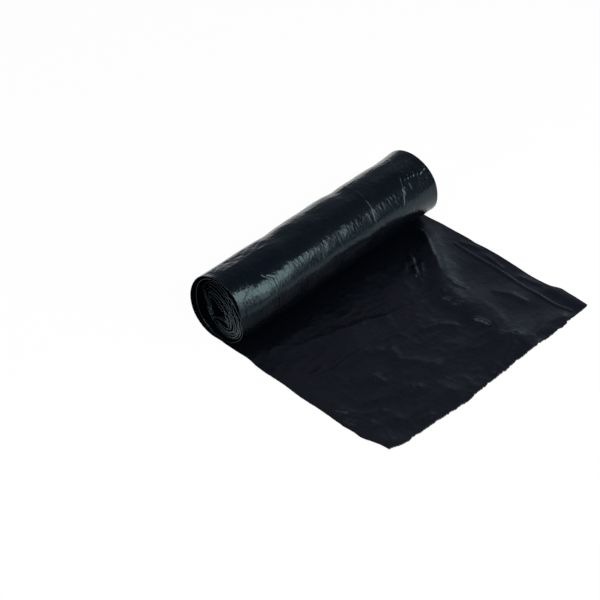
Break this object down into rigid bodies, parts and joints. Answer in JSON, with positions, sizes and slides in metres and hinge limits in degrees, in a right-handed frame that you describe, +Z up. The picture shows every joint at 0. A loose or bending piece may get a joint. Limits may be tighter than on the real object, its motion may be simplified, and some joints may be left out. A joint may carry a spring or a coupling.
{
  "type": "bin bag roll",
  "caption": "Coreless roll of black bin bags with the first bag partly drawn out flat; the hollow ends show the wound turns of folded film.",
  "frame": {"origin": "on the surface that the roll lies on, under the roll's axis and halfway along it: the middle of the flat spot", "axes": "+X along the drawn-out film, away from the roll; +Y along the roll's axis, towards its far end; +Z up"},
  "size_m": [0.2178, 0.244, 0.059],
  "materials": {
    "film": "thin black polyethylene film, satin to glossy, finely wrinkled"
  },
  "bodies": {
    "root": {"bag_web": "film"}
  },
  "joints": []
}
